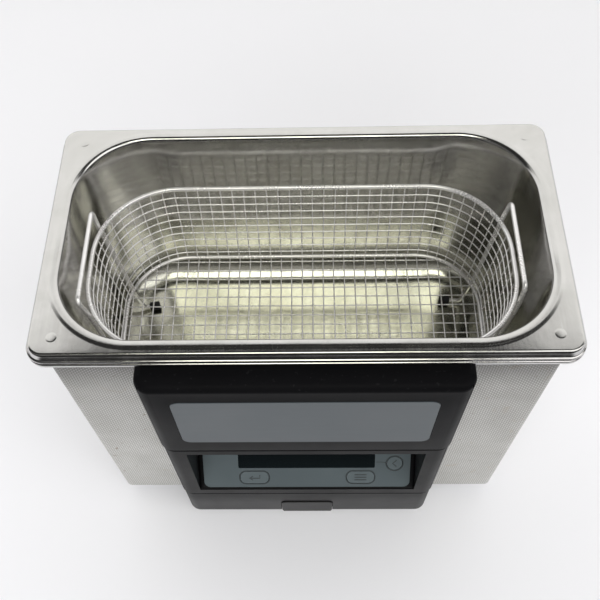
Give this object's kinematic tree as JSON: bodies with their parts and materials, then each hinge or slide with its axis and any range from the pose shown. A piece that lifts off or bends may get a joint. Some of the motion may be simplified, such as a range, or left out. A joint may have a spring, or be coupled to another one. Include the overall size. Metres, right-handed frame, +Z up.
{
  "type": "ultrasonic cleaner",
  "caption": "Bench-top ultrasonic cleaner: deep steel tank in a linen-textured steel case, lift-out wire mesh basket, dark plastic front housing with a leaning display panel.",
  "frame": {"origin": "on the table under the middle of the whole footprint, 7.31 mm in front of the centre of the tank rim", "axes": "+Z up, +X to the right seen from the front, -Y the front with the display"},
  "size_m": [0.325, 0.191, 0.272],
  "materials": {
    "satin_steel": "bright drawn stainless",
    "linen_steel": "fine linen pattern, satin",
    "zinc_steel": "zinc plated",
    "bright_wire": "bright",
    "charcoal_plastic": "fine satin grain",
    "plate_grey": "satin printed film",
    "panel_teal_grey": "satin printed film",
    "lens_black": "gloss",
    "black_rubber": "matte",
    "silicone": "matte",
    "card_white": "matte",
    "pcb_green": "solder mask",
    "display_body": "matte",
    "switch_black": "matte",
    "aluminium_part": "machined",
    "piezo_ceramic": "matte",
    "brass_part": "bright",
    "heater_silicone": "matte",
    "ferrite": "matte",
    "capacitor_sleeve": "gloss",
    "connector_nylon": "matte",
    "fuse_glass": "clear",
    "wire_sleeve": "gloss",
    "ribbon_grey": "matte",
    "white_rocker": "gloss"
  },
  "bodies": {
    "cleaner": {"tank": "satin_steel", "rim_seal": "silicone", "body_wrap": "linen_steel", "base_plate": "zinc_steel", "base_screws": "zinc_steel", "rubber_feet": "black_rubber", "foot_screws": "zinc_steel", "foot_nuts": "zinc_steel", "housing_cover": "charcoal_plastic", "label_plate": "plate_grey", "housing_bezel": "charcoal_plastic", "housing_base": "charcoal_plastic", "display_overlay": "panel_teal_grey", "lcd_window": "lens_black", "lcd_module": "display_body", "keypad_pcb": "pcb_green", "tact_switches": "switch_black", "housing_screws": "zinc_steel", "transducer_front_masses": "aluminium_part", "piezo_rings": "piezo_ceramic", "electrode_rings": "brass_part", "transducer_back_masses": "zinc_steel", "transducer_bolts": "zinc_steel", "heater_pad": "heater_silicone", "temperature_sensor": "brass_part", "generator_pcb": "pcb_green", "pcb_standoffs": "brass_part", "pcb_screws": "zinc_steel", "pcb_heatsink": "aluminium_part", "power_transistors": "switch_black", "output_transformer": "ferrite", "filter_capacitors": "capacitor_sleeve", "pcb_connectors": "connector_nylon", "iec_inlet": "switch_black", "inlet_pins": "brass_part", "inlet_screws": "zinc_steel", "switch_housing": "switch_black", "mains_wires": "wire_sleeve", "transducer_leads": "wire_sleeve", "keypad_ribbon": "ribbon_grey", "ground_stud": "brass_part", "ground_nut": "brass_part"},
    "basket": {"basket_rim_wire": "bright_wire", "basket_floor_frame": "bright_wire", "basket_hoop_wires": "bright_wire", "basket_upright_wires": "bright_wire", "basket_floor_mesh": "bright_wire", "basket_end_wire_left": "bright_wire", "basket_end_wire_right": "bright_wire", "basket_foot_tips": "black_rubber"},
    "enter_key": {"enter_button": "panel_teal_grey"},
    "menu_key": {"menu_button": "panel_teal_grey"},
    "back_key": {"back_button": "panel_teal_grey"},
    "tray": {"card_tray": "charcoal_plastic", "reference_card": "card_white"},
    "fuse_holder": {"fuse_drawer": "switch_black", "fuse": "fuse_glass"},
    "rocker": {"power_rocker": "white_rocker"}
  },
  "joints": [
    {"name": "basket_lift", "type": "slide", "parent": "cleaner", "child": "basket", "axis": [0, 0, 1], "range_m": [0, 0.17]},
    {"name": "enter_press", "type": "slide", "parent": "cleaner", "child": "enter_key", "axis": [0, 0.788, -0.6157], "range_m": [0, 0.0005], "stiffness_N_per_m": 800},
    {"name": "menu_press", "type": "slide", "parent": "cleaner", "child": "menu_key", "axis": [0, 0.788, -0.6157], "range_m": [0, 0.0005], "stiffness_N_per_m": 800},
    {"name": "back_press", "type": "slide", "parent": "cleaner", "child": "back_key", "axis": [0, 0.788, -0.6157], "range_m": [0, 0.0005], "stiffness_N_per_m": 800},
    {"name": "card_tray_slide", "type": "slide", "parent": "cleaner", "child": "tray", "axis": [0, -1, 0], "range_m": [0, 0.035]},
    {"name": "fuse_drawer_slide", "type": "slide", "parent": "cleaner", "child": "fuse_holder", "axis": [0, 1, 0], "range_m": [0, 0.018]},
    {"name": "power_rock", "type": "hinge", "parent": "cleaner", "child": "rocker", "pos_m": [-0.066, 0.07781, 0.062], "axis": [1, 0, 0], "range_deg": [-14, 0]}
  ]
}
